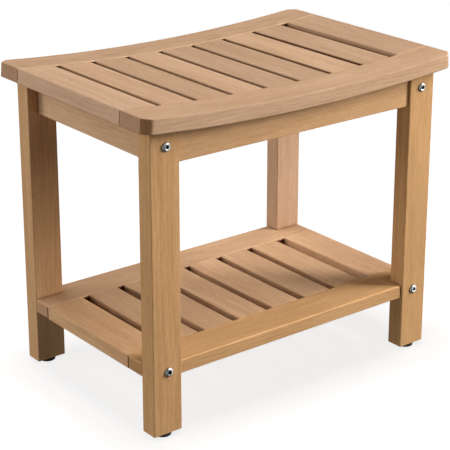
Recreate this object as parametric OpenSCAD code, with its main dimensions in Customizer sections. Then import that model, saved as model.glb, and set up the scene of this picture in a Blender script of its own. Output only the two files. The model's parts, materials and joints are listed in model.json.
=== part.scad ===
// Slatted two-tier shower stool in hardwood.
// Origin on the floor under the middle of the seat, +X to the right, +Y to the back, +Z up.

/* [Overall] */
// Height of the seat's raised ends above the floor
overall_height = 460; // [457:1:468]
// Length of the seat's top face, end to end
seat_length = 540; // [532:1:600]
// Depth of the seat, front to back
seat_depth = 360; // [330:1:400]
// How far the seat reaches past the legs, on every side
seat_overhang = 19; // [14:1:24]

/* [Seat] */
// Thickness of the seat's rails and end boards
seat_thickness = 21; // [19:0.5:24]
// Depth of the dished top face in the middle
seat_dip = 12.5; // [6:0.5:16]
// Width of the front and back seat rails
seat_rail_width = 56.5; // [50:0.5:64]
// Width of the seat's left and right end boards
seat_end_board_width = 58; // [54:0.5:62]
// Width of one seat slat
seat_slat_width = 50; // [46:0.5:52]
// Thickness of one seat slat
seat_slat_thickness = 16; // [14:0.5:18]
// Distance from one seat slat to the next, centre to centre
seat_slat_pitch = 58.4; // [56:0.1:58.6]
// Length of the cut across each corner of the seat, along each side
seat_corner_cut = 11; // [6:0.5:16]

/* [Legs] */
// Width of a leg along the stool's length
leg_width = 46; // [42:1:50]
// Depth of a leg, front to back
leg_depth = 27; // [25:1:30]

/* [Aprons] */
// Height of the aprons' bottom edges above the floor
apron_height = 386; // [378:1:390]
// Thickness of the front and back aprons
long_apron_thickness = 20; // [16:1:22]
// How far the front and back aprons stand behind the legs' outer faces
long_apron_setback = 4; // [2:0.5:5]
// Thickness of the end aprons
end_apron_thickness = 16; // [15:0.5:18]
// How far the end aprons stand behind the legs' end faces
end_apron_setback = 17; // [15:0.5:18]

/* [Shelf] */
// Height of the shelf's top face above the floor
shelf_height = 106.5; // [96:0.5:140]
// Thickness of the shelf's rails and end boards
shelf_thickness = 20; // [18:0.5:22]
// Width of the front and back shelf rails
shelf_rail_width = 57; // [54:0.5:62]
// How far the shelf's rails stand behind the legs' outer faces
shelf_setback = 3; // [1:0.5:5]
// Width of the shelf's left and right end boards
shelf_end_board_width = 58; // [52:0.5:59]
// Width of one shelf slat
shelf_slat_width = 49; // [46:0.5:52]
// Thickness of one shelf slat
shelf_slat_thickness = 16; // [14:0.5:18]
// Distance from one shelf slat to the next, centre to centre
shelf_slat_pitch = 61.2; // [59:0.1:62]

/* [Bolts and screws] */
// Diameter of the bolts' heads
bolt_head_d = 13; // [11:0.5:15]
// How far a bolt's head stands out of the leg
bolt_head_height = 3.4; // [2.5:0.1:4]
// Height of the upper bolts above the floor
upper_bolt_height = 412; // [408:1:416]
// Height of the lower bolts above the floor
lower_bolt_height = 97; // [96:0.5:98]
// Distance from a leg's end face to its bolts
bolt_inset = 24.5; // [24:0.1:25]

/* [Feet] */
// Diameter of a foot pad
foot_pad_d = 24; // [20:1:26]
// Gap between the floor and a leg, with the foot wound fully in
foot_height = 6; // [5:0.5:8]

/* [Hidden] */
// rounding of the boards' long edges
board_ease = 1.5;
rail_outer_ease = 2;
rail_inner_ease = 1;
joint_ease = 0.5;

// how far cuts run past a surface, and holes past what they hold
cut_margin = 1;

// tongue-and-mortise joints of the slats and end boards
tenon_length = 12;
tenon_thickness = 8;
tenon_shoulder = 5;
tenon_gap = 0.1;

// M6 bolts, their holes and their barrel nuts
bolt_d = 6;
bolt_length = 45;
bolt_hole_d = 6.6;
bolt_hole_depth = 19;
bolt_socket = 4;
bolt_socket_depth = 2.2;
barrel_d = 10;
barrel_length = 12;
barrel_setback = 13.5;
barrel_slot = [1.4, 20, 3];
fit_gap = 0.05;

// wooden dowels
dowel_d = 8;
dowel_length = 30;
dowel_heights = [398, 422];
end_dowel_d = 6;
end_dowel_length = 24;
end_dowel_height = 396;

// screws that hold the seat, counterbored from below
screw_d = 4.5;
screw_head_d = 8.5;
screw_head_height = 2.4;
screw_length = 45;
screw_grip = 30;
screw_point_r = 0.4;
screw_recess = [4.6, 1, 3];
counterbore_d = 9.2;
counterbore_depth = 42;
long_screw_x = 110;
end_screw_y = 70;

// screw-in feet: M8 stem with a hexagon collar, turning in the pad
stem_r = 4;
stem_top = 36;
stem_neck_r = 3;
stem_flange_r = 5;
stem_flange_bottom = 2;
stem_flange_top = 3.6;
stem_bore_top = 50;
stem_bore_r = 4.5;
collar_flats = 13;
collar_height = 3.5;
collar_gap = 0.3;
collar_pocket_r = 8.5;
collar_pocket_depth = 4.2;
insert_r = 5.5;
insert_length = 15;
pad_gap = 0.2;
pad_ease = 1.2;

SIDES = [-1, 1];
half_length = seat_length / 2;
half_depth = seat_depth / 2;
leg_x = half_length - seat_overhang;
leg_y = half_depth - seat_overhang;
leg_in_x = leg_x - leg_width;
leg_in_y = leg_y - leg_depth;
bolt_x = leg_x - bolt_inset;

// the seat's top face is an arc with its centre above the stool
seat_radius = (half_length ^ 2 + seat_dip ^ 2) / (2 * seat_dip);
seat_centre_z = overall_height - seat_dip + seat_radius;
seat_end_angle = asin(half_length / seat_radius);
seat_rail_in_y = half_depth - seat_rail_width;
seat_first_slat_x = -half_length + seat_end_board_width + seat_slat_pitch - seat_slat_width / 2;
seat_slats = 7;
arc_fn = 720;

shelf_bottom = shelf_height - shelf_thickness;
shelf_y = leg_y - shelf_setback;
shelf_rail_in_y = shelf_y - shelf_rail_width;
shelf_first_slat_x = -leg_x + shelf_end_board_width + shelf_slat_pitch - shelf_slat_width / 2;
shelf_slats = 6;

long_apron_y = leg_y - long_apron_setback - long_apron_thickness / 2;
end_apron_x = leg_x - end_apron_setback - end_apron_thickness / 2;
barrel_y = leg_in_y - barrel_setback;
foot_x = leg_x - leg_width / 2;
foot_y = leg_y - leg_depth / 2;

wood = [0.76, 0.58, 0.42];
wood_light = [0.80, 0.64, 0.48];
wood_dark = [0.68, 0.50, 0.35];
steel = [0.72, 0.73, 0.74];
brass = [0.78, 0.65, 0.35];
rubber = [0.09, 0.09, 0.09];

// ---- shapes shared by the boards ----

// Rectangle from the origin with rounded corners: one radius at its left side, one at its right.
module eased_rect(width, height, left, right) {
    polygon([
        [left, 0], [width - right, 0], [width, right], [width, height - right],
        [width - right, height], [left, height], [0, height - left], [0, left]
    ]);
    for (y = [left, height - left]) translate([left, y]) circle(r = left, $fn = 32);
    for (y = [right, height - right]) translate([width - right, y]) circle(r = right, $fn = 32);
}

// Board with its grain along X, given by its two opposite corners; it may be eased more in front.
module board_x(low, high, front, back) {
    translate(low) rotate([90, 0, 90]) linear_extrude(high[0] - low[0])
        eased_rect(high[1] - low[1], high[2] - low[2], front, back);
}

// Board with its grain along Y.
module board_y(low, high, ease) {
    translate([low[0], high[1], low[2]]) rotate([90, 0, 0]) linear_extrude(high[1] - low[1])
        eased_rect(high[0] - low[0], high[2] - low[2], ease, ease);
}

// Board with its grain along Z.
module board_z(low, high, ease) {
    translate(low) linear_extrude(high[2] - low[2])
        eased_rect(high[0] - low[0], high[1] - low[1], ease, ease);
}

// Cylinder along X or Y through a given centre.
module rod_x(centre, r, length) {
    translate(centre) rotate([0, 90, 0]) cylinder(r = r, h = length, center = true, $fn = 48);
}

module rod_y(centre, r, length) {
    translate(centre) rotate([90, 0, 0]) cylinder(r = r, h = length, center = true, $fn = 48);
}

// ---- the dished seat ----

function seat_angle(x) = asin(x / seat_radius);
function seat_underside(x) = seat_centre_z - sqrt((seat_radius + seat_thickness) ^ 2 - x ^ 2);

// Moves a shape onto the top face above x, tilted with the face.
module on_seat(x) {
    translate([0, 0, seat_centre_z]) rotate([0, -seat_angle(x), 0])
        translate([0, 0, -seat_radius]) children();
}

// Board bent to the seat's arc, between two angles and two depths.
module bent_board(from_angle, to_angle, y0, y1, front, back) {
    translate([0, 0, seat_centre_z]) rotate([90, 0, 0]) rotate([0, 0, 270 + from_angle])
        rotate_extrude(angle = to_angle - from_angle, $fn = arc_fn)
            translate([seat_radius, -y0]) rotate(-90)
                eased_rect(y1 - y0, seat_thickness, front, back);
}

// Everything above the seat's underside.
module above_underside() {
    translate([0, 0, seat_centre_z]) rotate([90, 0, 0])
        cylinder(r = seat_radius + seat_thickness, h = seat_depth, center = true, $fn = arc_fn);
}

// Tongue block that runs past both ends of a slat or end board; gap widens it into a mortise.
module seat_tongue(x, width, gap) {
    on_seat(x) translate([0, 0, -seat_slat_thickness / 2]) cube([
        width - 2 * tenon_shoulder + 2 * gap,
        2 * (seat_rail_in_y + tenon_length + gap),
        tenon_thickness + 2 * gap
    ], center = true);
}

function seat_slat_x(i) = seat_first_slat_x + i * seat_slat_pitch;
seat_end_x = half_length - seat_end_board_width / 2;

module seat_mortises() {
    for (i = [0:seat_slats - 1]) seat_tongue(seat_slat_x(i), seat_slat_width, tenon_gap);
    for (side = SIDES) seat_tongue(side * seat_end_x, seat_end_board_width, tenon_gap);
}

module seat_screw_at(x, y) {
    translate([x, y, seat_underside(abs(x)) - screw_grip]) children();
}

module seat_screw_places() {
    for (x = SIDES * long_screw_x, y = SIDES * long_apron_y) seat_screw_at(x, y) children();
    for (x = SIDES * end_apron_x, y = SIDES * end_screw_y) seat_screw_at(x, y) children();
}

module seat_screw_holes() {
    seat_screw_places() {
        cylinder(r = screw_d / 2 + fit_gap, h = screw_length + cut_margin, $fn = 32);
        translate([0, 0, -counterbore_depth])
            cylinder(d = counterbore_d, h = counterbore_depth + screw_head_height, $fn = 32);
    }
}

// Rounding of a rail's front edges; its back edges have that of the opposite rail.
function front_ease(side) = side < 0 ? rail_outer_ease : rail_inner_ease;

module seat_rail(side) {
    y0 = side < 0 ? -half_depth : seat_rail_in_y;
    color(wood) difference() {
        bent_board(-seat_end_angle, seat_end_angle, y0, y0 + seat_rail_width,
                   front_ease(side), front_ease(-side));
        seat_mortises();
        seat_screw_holes();
        for (end = SIDES) on_seat(end * half_length) translate([0, side * half_depth, 0])
            rotate([0, 0, 45]) cube([
                seat_corner_cut * sqrt(2), seat_corner_cut * sqrt(2), 3 * seat_thickness
            ], center = true);
    }
}

module seat_end_board(side) {
    inner = seat_angle(half_length - seat_end_board_width);
    from_angle = side < 0 ? -seat_end_angle : inner;
    to_angle = side < 0 ? -inner : seat_end_angle;
    color(wood_light) difference() {
        union() {
            bent_board(from_angle, to_angle, -seat_rail_in_y, seat_rail_in_y,
                       joint_ease, joint_ease);
            seat_tongue(side * seat_end_x, seat_end_board_width, 0);
        }
        seat_screw_holes();
    }
}

module seat_slat(i) {
    x = seat_slat_x(i);
    color(wood_light) {
        on_seat(x) board_y(
            [-seat_slat_width / 2, -seat_rail_in_y, -seat_slat_thickness],
            [seat_slat_width / 2, seat_rail_in_y, 0], board_ease
        );
        seat_tongue(x, seat_slat_width, 0);
    }
}

// ---- legs and aprons ----

module bolt_holes(z) {
    for (x = SIDES * bolt_x, y = SIDES)
        rod_y([x, y * (leg_in_y - bolt_hole_depth + seat_depth / 2), z],
              bolt_hole_d / 2, seat_depth);
}

module dowel_places() {
    for (x = SIDES * leg_in_x, y = SIDES * long_apron_y, z = dowel_heights)
        translate([x, y, z]) children();
}

module end_dowel_places() {
    for (x = SIDES * end_apron_x, y = SIDES * leg_in_y)
        translate([x, y, end_dowel_height]) children();
}

module dowel_holes() {
    dowel_places() rod_x([0, 0, 0], dowel_d / 2 + fit_gap, dowel_length + cut_margin);
    end_dowel_places()
        rod_y([0, 0, 0], end_dowel_d / 2 + fit_gap, end_dowel_length + cut_margin);
}

module foot_holes() {
    pocket_top = foot_height + collar_pocket_depth;
    for (x = SIDES * foot_x, y = SIDES * foot_y) translate([x, y, 0]) {
        cylinder(r = collar_pocket_r, h = pocket_top, $fn = 48);
        cylinder(r = insert_r + fit_gap, h = pocket_top + insert_length, $fn = 48);
        cylinder(r = stem_bore_r, h = stem_bore_top, $fn = 48);
    }
}

module leg(side_x, side_y) {
    x0 = side_x < 0 ? -leg_x : leg_in_x;
    y0 = side_y < 0 ? -leg_y : leg_in_y;
    color(wood) difference() {
        board_z([x0, y0, foot_height], [x0 + leg_width, y0 + leg_depth, overall_height],
                board_ease);
        above_underside();
        bolt_holes(upper_bolt_height);
        bolt_holes(lower_bolt_height);
        dowel_holes();
        foot_holes();
    }
}

module long_apron(side) {
    half = long_apron_thickness / 2;
    color(wood) difference() {
        board_x([-leg_in_x, side * long_apron_y - half, apron_height],
                [leg_in_x, side * long_apron_y + half, overall_height], board_ease, board_ease);
        above_underside();
        dowel_holes();
        seat_screw_holes();
    }
}

module upper_barrel_places() {
    for (x = SIDES, y = SIDES * barrel_y)
        translate([x * bolt_x, y, upper_bolt_height]) rotate([0, -x * 90, 0]) children();
}

module end_apron(side) {
    half = end_apron_thickness / 2;
    color(wood_dark) difference() {
        board_y([side * end_apron_x - half, -leg_in_y, apron_height],
                [side * end_apron_x + half, leg_in_y, overall_height], board_ease);
        above_underside();
        bolt_holes(upper_bolt_height);
        dowel_holes();
        seat_screw_holes();
        // drilled from the inside face, blind
        upper_barrel_places() translate([0, 0, -barrel_length / 2])
            cylinder(r = barrel_d / 2 + fit_gap, h = 3 * barrel_length, $fn = 48);
    }
}

// ---- shelf ----

module shelf_tongue(x, width, gap) {
    translate([x, 0, shelf_height - shelf_slat_thickness / 2]) cube([
        width - 2 * tenon_shoulder + 2 * gap,
        2 * (shelf_rail_in_y + tenon_length + gap),
        tenon_thickness + 2 * gap
    ], center = true);
}

function shelf_slat_x(i) = shelf_first_slat_x + i * shelf_slat_pitch;
shelf_end_x = leg_x - shelf_end_board_width / 2;

module lower_barrel_places() {
    for (x = SIDES * bolt_x, y = SIDES * barrel_y)
        translate([x, y, lower_bolt_height]) rotate([180, 0, 0]) children();
}

module shelf_rail(side) {
    y0 = side < 0 ? -shelf_y : shelf_rail_in_y;
    color(wood) difference() {
        board_x([-leg_x, y0, shelf_bottom], [leg_x, y0 + shelf_rail_width, shelf_height],
                front_ease(side), front_ease(-side));
        // the rail's ends are notched around the legs
        for (end = SIDES) translate([end * leg_x, side * leg_y, shelf_height])
            cube([2 * leg_width, 2 * leg_depth, 3 * shelf_thickness], center = true);
        for (i = [0:shelf_slats - 1]) shelf_tongue(shelf_slat_x(i), shelf_slat_width, tenon_gap);
        for (end = SIDES) shelf_tongue(end * shelf_end_x, shelf_end_board_width, tenon_gap);
        bolt_holes(lower_bolt_height);
        // drilled from below, blind
        lower_barrel_places() translate([0, 0, -barrel_length / 2])
            cylinder(r = barrel_d / 2 + fit_gap, h = 3 * barrel_length, $fn = 48);
    }
}

module shelf_end_board(side) {
    x0 = side < 0 ? -leg_x : leg_x - shelf_end_board_width;
    color(wood_light) {
        board_y([x0, -shelf_rail_in_y, shelf_bottom],
                [x0 + shelf_end_board_width, shelf_rail_in_y, shelf_height], board_ease);
        shelf_tongue(side * shelf_end_x, shelf_end_board_width, 0);
    }
}

module shelf_slat(i) {
    x = shelf_slat_x(i);
    color(wood_light) {
        board_y([x - shelf_slat_width / 2, -shelf_rail_in_y, shelf_height - shelf_slat_thickness],
                [x + shelf_slat_width / 2, shelf_rail_in_y, shelf_height], board_ease);
        shelf_tongue(x, shelf_slat_width, 0);
    }
}

// ---- fasteners ----

// Domed bolt with its head's flat side on the origin and its shank along -Z.
module bolt() {
    dome_r = (bolt_head_d ^ 2 / 4 + bolt_head_height ^ 2) / (2 * bolt_head_height);
    difference() {
        union() {
            intersection() {
                translate([0, 0, bolt_head_height - dome_r]) sphere(r = dome_r, $fn = 64);
                cylinder(d = bolt_head_d, h = bolt_head_height, $fn = 64);
            }
            translate([0, 0, -bolt_length])
                cylinder(d = bolt_d, h = bolt_length + cut_margin, $fn = 48);
        }
        translate([0, 0, bolt_head_height - bolt_socket_depth])
            cylinder(d = bolt_socket / cos(30), h = bolt_head_height, $fn = 6);
    }
}

module leg_bolts(z) {
    color(steel) for (x = SIDES * bolt_x, y = SIDES)
        translate([x, y * leg_y, z]) rotate([-y * 90, 0, 0]) bolt();
}

// Cross dowel nut along Z, with its thread along Y and a screwdriver slot at its far end.
module barrel_nut() {
    difference() {
        cylinder(d = barrel_d, h = barrel_length, center = true, $fn = 48);
        rod_y([0, 0, 0], bolt_d / 2 + fit_gap, 2 * barrel_d);
        translate([0, 0, barrel_length / 2]) cube(barrel_slot, center = true);
    }
}

module upper_barrel_nuts() {
    color(steel) upper_barrel_places() barrel_nut();
}

module lower_barrel_nuts() {
    color(steel) lower_barrel_places() barrel_nut();
}

module apron_dowels() {
    color(wood_light) dowel_places() rod_x([0, 0, 0], dowel_d / 2, dowel_length);
}

module end_apron_dowels() {
    color(wood_light) end_dowel_places() rod_y([0, 0, 0], end_dowel_d / 2, end_dowel_length);
}

module seat_screw() {
    difference() {
        union() {
            cylinder(r1 = screw_head_d / 2, r2 = screw_d / 2, h = screw_head_height, $fn = 32);
            cylinder(d = screw_d, h = screw_length - screw_d, $fn = 32);
            translate([0, 0, screw_length - screw_d])
                cylinder(r1 = screw_d / 2, r2 = screw_point_r, h = screw_d, $fn = 32);
        }
        for (turn = [0, 90]) rotate([0, 0, turn]) cube(screw_recess, center = true);
    }
}

module seat_screws() {
    color(steel) seat_screw_places() seat_screw();
}

// ---- feet ----

module at_foot(side_x, side_y) {
    translate([side_x * foot_x, side_y * foot_y, 0]) children();
}

module foot_inserts() {
    color(brass) for (x = SIDES, y = SIDES) at_foot(x, y)
        translate([0, 0, foot_height + collar_pocket_depth]) difference() {
            cylinder(r = insert_r, h = insert_length, $fn = 48);
            translate([0, 0, -cut_margin])
                cylinder(r = stem_r + fit_gap, h = insert_length + 2 * cut_margin, $fn = 48);
        }
}

module foot_pad(side_x, side_y) {
    top = foot_height - pad_gap;
    color(rubber) at_foot(side_x, side_y) rotate_extrude($fn = 64) difference() {
        intersection() {
            translate([-foot_pad_d / 2, 0]) eased_rect(foot_pad_d, top, pad_ease, pad_ease);
            square([foot_pad_d, top]);
        }
        // socket that keeps the stem's flange
        translate([0, stem_flange_bottom - fit_gap]) square([
            stem_flange_r + fit_gap, stem_flange_top - stem_flange_bottom + 2 * fit_gap
        ]);
        translate([0, stem_flange_bottom]) square([stem_neck_r + fit_gap, foot_height]);
    }
}

module foot_stem(side_x, side_y) {
    collar_bottom = foot_height + collar_gap;
    flange_height = stem_flange_top - stem_flange_bottom;
    color(steel) at_foot(side_x, side_y) {
        translate([0, 0, stem_flange_bottom]) {
            cylinder(r = stem_flange_r, h = flange_height, $fn = 48);
            cylinder(r = stem_neck_r, h = collar_bottom - stem_flange_bottom, $fn = 48);
        }
        translate([0, 0, collar_bottom]) {
            cylinder(d = collar_flats / cos(30), h = collar_height, $fn = 6);
            cylinder(r = stem_r, h = stem_top - collar_bottom, $fn = 48);
        }
    }
}

// ---- nodes ----

seat_rail(-1);  // seat_front_rail
seat_rail(1);  // seat_back_rail
seat_end_board(-1);  // seat_left_end_board
seat_end_board(1);  // seat_right_end_board
for (i = [0:seat_slats - 1])
    seat_slat(i);

long_apron(-1);  // front_apron
long_apron(1);  // back_apron
end_apron(-1);  // left_end_apron
end_apron(1);  // right_end_apron
leg(-1, -1);  // leg_front_left
leg(1, -1);  // leg_front_right
leg(-1, 1);  // leg_back_left
leg(1, 1);  // leg_back_right

shelf_rail(-1);  // shelf_front_rail
shelf_rail(1);  // shelf_back_rail
shelf_end_board(-1);  // shelf_left_end_board
shelf_end_board(1);  // shelf_right_end_board
for (i = [0:shelf_slats - 1])
    shelf_slat(i);

leg_bolts(upper_bolt_height);  // upper_leg_bolts
leg_bolts(lower_bolt_height);  // lower_leg_bolts
upper_barrel_nuts();
lower_barrel_nuts();
apron_dowels();
end_apron_dowels();
seat_screws();
foot_inserts();

foot_pad(-1, -1);  // foot_pad_front_left
foot_pad(1, -1);  // foot_pad_front_right
foot_pad(-1, 1);  // foot_pad_back_left
foot_pad(1, 1);  // foot_pad_back_right
foot_stem(-1, -1);  // foot_stem_front_left
foot_stem(1, -1);  // foot_stem_front_right
foot_stem(-1, 1);  // foot_stem_back_left
foot_stem(1, 1);  // foot_stem_back_right
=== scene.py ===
"""Looks of the slatted shower stool: boards with eased edges and grain, hardware, studio."""
import json
import math
import random

import bmesh
import bpy
from mathutils import Matrix, Vector


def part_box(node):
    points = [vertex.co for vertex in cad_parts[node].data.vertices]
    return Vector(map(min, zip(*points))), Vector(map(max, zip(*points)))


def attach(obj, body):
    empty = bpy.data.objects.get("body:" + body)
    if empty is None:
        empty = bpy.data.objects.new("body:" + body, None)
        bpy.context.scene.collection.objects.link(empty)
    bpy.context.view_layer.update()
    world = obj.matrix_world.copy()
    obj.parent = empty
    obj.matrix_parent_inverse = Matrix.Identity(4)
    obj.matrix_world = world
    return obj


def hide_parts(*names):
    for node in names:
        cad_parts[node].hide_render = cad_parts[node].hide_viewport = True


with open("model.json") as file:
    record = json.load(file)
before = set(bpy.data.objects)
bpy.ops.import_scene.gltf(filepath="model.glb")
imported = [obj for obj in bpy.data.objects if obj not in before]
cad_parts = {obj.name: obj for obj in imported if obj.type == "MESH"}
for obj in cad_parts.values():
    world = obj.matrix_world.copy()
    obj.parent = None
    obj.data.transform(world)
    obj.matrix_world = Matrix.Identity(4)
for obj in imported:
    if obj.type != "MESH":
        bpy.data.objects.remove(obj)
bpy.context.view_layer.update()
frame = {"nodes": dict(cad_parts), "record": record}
NODES = frame["nodes"]
BODY_OF = {n: body for body, names in frame["record"]["behaviour"]["bodies"].items()
           for n in names}
SLOT_OF = {part["node"]: part["material_slot"] for part in frame["record"]["subparts"]}
MM = 0.001


# ---- node helpers ----

class Tree:
    """A node tree being built: add() makes a node, wire() links sockets, the rest return sockets."""

    def __init__(self, tree):
        self.tree = tree

    def add(self, kind, **settings):
        node = self.tree.nodes.new(kind)
        for key, value in settings.items():
            setattr(node, key, value)
        return node

    def wire(self, source, target):
        self.tree.links.new(source, target)

    def feed(self, socket, value):
        """Links a socket, or sets a plain value."""
        if isinstance(value, bpy.types.NodeSocket):
            self.wire(value, socket)
        else:
            socket.default_value = value

    def maths(self, operation, a, b=0.0, clamp=False):
        node = self.add("ShaderNodeMath", operation=operation, use_clamp=clamp)
        self.feed(node.inputs[0], a)
        self.feed(node.inputs[1], b)
        return node.outputs[0]

    def times(self, value, by):
        return self.maths("MULTIPLY", value, by)

    def swing(self, value, by):
        """How far a noise is above its middle, times by."""
        return self.times(self.maths("SUBTRACT", value, 0.5), by)

    def total(self, *terms, clamp=False):
        """Sum of two or more terms; clamp holds it between 0 and 1."""
        result = terms[0]
        for term in terms[1:-1]:
            result = self.maths("ADD", result, term)
        return self.maths("ADD", result, terms[-1], clamp)

    def vector(self, operation, a, b=None):
        node = self.add("ShaderNodeVectorMath", operation=operation)
        self.feed(node.inputs[0], a)
        if b is not None:
            self.feed(node.inputs[1], b)
        return node.outputs["Value" if operation == "LENGTH" else "Vector"]

    def turned(self, vector, rotation):
        node = self.add("ShaderNodeVectorRotate", rotation_type="EULER_XYZ")
        self.wire(vector, node.inputs["Vector"])
        node.inputs["Rotation"].default_value = rotation
        return node.outputs["Vector"]

    def noise(self, vector, scale, detail=2.0, roughness=0.5, output="Fac"):
        node = self.add("ShaderNodeTexNoise", noise_dimensions="3D")
        self.feed(node.inputs["Vector"], vector)
        node.inputs["Scale"].default_value = scale
        node.inputs["Detail"].default_value = detail
        node.inputs["Roughness"].default_value = roughness
        return node.outputs[output]

    def streaks(self, vector, grain, **settings):
        """Noise drawn out along X; grain is its cycles per metre along X and across it."""
        along, across = grain
        return self.noise(self.vector("MULTIPLY", vector, (along, across, across)), 1.0, **settings)

    def crevice(self, distance, open_at, closed_at):
        """0 on open surfaces, rising to 1 where nearby surfaces close it in."""
        node = self.add("ShaderNodeAmbientOcclusion", samples=6)
        self.feed(node.inputs["Distance"], distance)
        return self.remap(node.outputs["AO"], open_at, closed_at)

    def remap(self, value, low, high, to_low=0.0, to_high=1.0):
        """Smooth step from to_low at low to to_high at high; low may be above high."""
        node = self.add("ShaderNodeMapRange", interpolation_type="SMOOTHSTEP")
        for socket, x in zip(node.inputs, (value, low, high, to_low, to_high)):
            self.feed(socket, x)
        return node.outputs["Result"]

    def blend(self, factor, a, b, mode="MIX"):
        node = self.add("ShaderNodeMix", data_type="RGBA", blend_type=mode)
        sockets = [s for s in node.inputs if s.enabled]
        for socket, x in zip(sockets, (factor, a, b)):
            self.feed(socket, x)
        return next(s for s in node.outputs if s.enabled)

    def tinted(self, factor, colour, tint):
        """Colour multiplied by a tint where factor is 1, and left alone where it is 0."""
        return self.blend(factor, colour, self.blend(1.0, colour, (*tint, 1.0), "MULTIPLY"))

    def bump(self, shader, height, strength, distance):
        """Bends a shader's normals to follow a height."""
        node = self.add("ShaderNodeBump")
        node.inputs["Strength"].default_value = strength
        node.inputs["Distance"].default_value = distance
        self.wire(height, node.inputs["Height"])
        self.wire(node.outputs["Normal"], shader.inputs["Normal"])


def new_material(name):
    """A material, its tree and its shader."""
    material = bpy.data.materials.new(name)
    material.use_nodes = True
    return material, Tree(material.node_tree), material.node_tree.nodes["Principled BSDF"]


# ---- timber ----

# Board-space coordinates are metres with the grain along X.
# Streaks of the timber: cycles per metre along the grain and across it.
RING_WANDER_GRAIN = (3.0, 22.0)
RING_JITTER_GRAIN = (1.2, 60.0)
CLOUD_GRAIN = (6.0, 26.0)
BROAD_GRAIN = (6.0, 85.0)
MIDDLE_GRAIN = (30.0, 360.0)
FINE_GRAIN = (90.0, 1100.0)
PORE_GRAIN = (130.0, 2300.0)
SPECKLE_GRAIN = (0.0, 900.0)

# Depth of colour, from the light tone (0) to the dark tone (1): its mean, and what moves it.
MEAN_DEPTH = 0.42
BROAD_DEPTH = 0.45
MIDDLE_DEPTH = 0.80
FINE_DEPTH = 0.60
CLOUD_DEPTH = 0.60
LATEWOOD_DEPTH = 0.22

RING_SPACING = 3.2 * MM
RING_WANDER = 12 * MM
RING_JITTER = 1.6
RING_DRIFT_ALONG = 0.02
LATEWOOD_STARTS = 0.35
LATEWOOD_PEAKS = 0.93
PORE_THRESHOLD = (0.62, 0.74)
PORE_DEPTH = 0.30
PORE_COLOUR = (0.16, 0.085, 0.04, 1.0)
END_GRAIN_FACING = (0.40, 0.80)
END_GRAIN_DEPTH = 0.24
END_GRAIN_RINGS = 0.30
END_GRAIN_SPECKLE = 0.5
END_GRAIN_COLOUR = (0.19, 0.075, 0.02, 1.0)
# Painted shade where nearby surfaces close a place in: where it starts and where it is full, and its
# tint.
CREVICE_OPENNESS = (0.58, 0.32)
CREVICE_SHADE_TINT = (0.25, 0.11, 0.03)
# Painted shade lower down on slot walls and rails' inner faces: how far it fades in, and its tint.
PAINTED_SHADE_FADE = 5 * MM
PAINTED_SHADE_TINT = (0.26, 0.12, 0.05)
LATEWOOD_PORES = 0.4

# Gloss and relief, and what changes them.
ROUGHNESS = 0.68
BROAD_ROUGHNESS = 0.22
PORE_ROUGHNESS = 0.15
END_GRAIN_ROUGHNESS = 0.12
SPECULAR = 0.18
MIDDLE_RELIEF = 0.5
FINE_RELIEF = 0.5
PORE_RELIEF = -0.8
LATEWOOD_RELIEF = 0.3
RELIEF_STRENGTH = 0.35
RELIEF_DEPTH = 0.25 * MM

# Where a board lies in its log, in metres.
LOG_REACH = 9.0
PITH_NEAREST, PITH_FURTHEST = 0.05, 0.16
PITH_SHIFT = 1.0


def growth_rings(t, position, pith):
    """Latewood of the rings round the pith: 0 between its lines, 1 on them."""
    wander = t.streaks(position, RING_WANDER_GRAIN, output="Color")
    offset = t.vector("MULTIPLY", t.vector("SUBTRACT", wander, (0.5, 0.5, 0.5)),
                      (0.0, RING_WANDER, RING_WANDER))
    warped = t.vector("ADD", position, offset)
    radial = t.vector("MULTIPLY", t.vector("SUBTRACT", warped, pith),
                      (RING_DRIFT_ALONG, 1.0, 1.0))
    count = t.times(t.vector("LENGTH", radial), 1.0 / RING_SPACING)
    jitter = t.streaks(warped, RING_JITTER_GRAIN, detail=1.0)
    ring = t.maths("FRACT", t.total(count, t.times(jitter, RING_JITTER)))
    return t.times(t.remap(ring, LATEWOOD_STARTS, LATEWOOD_PEAKS),
                   t.remap(ring, 1.0, LATEWOOD_PEAKS))


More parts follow.
